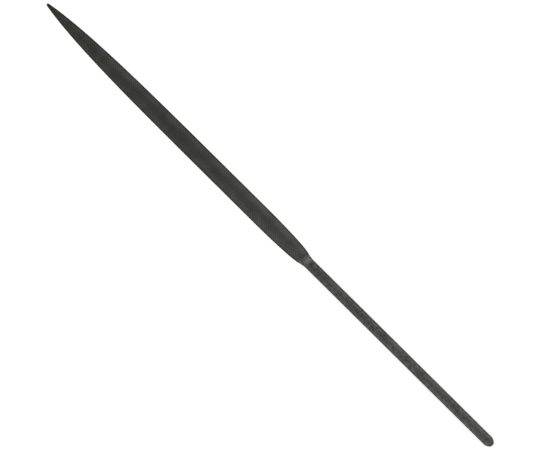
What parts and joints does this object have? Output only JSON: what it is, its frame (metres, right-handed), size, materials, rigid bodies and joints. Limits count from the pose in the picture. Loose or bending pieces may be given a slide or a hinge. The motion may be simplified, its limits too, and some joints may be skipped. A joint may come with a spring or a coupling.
{
  "type": "half round file",
  "caption": "Slim half round precision file of one piece of steel: a tapering blade with teeth on its flat face and rounded back, a short ground neck and a plain round shank with a blunt, rounded end.",
  "frame": {"origin": "on the axis of the round shank, at the plane where the neck ends and the shank begins", "axes": "+X along the shank's axis towards the point, +Z out of the rounded back, so the flat face looks towards -Z"},
  "size_m": [0.2, 0.0064, 0.0036],
  "materials": {
    "hardened_steel": "dark grey hardened file steel, matte on the cut faces, smoother on the neck and shank"
  },
  "bodies": {
    "root": {"half_round_file": "hardened_steel"}
  },
  "joints": []
}
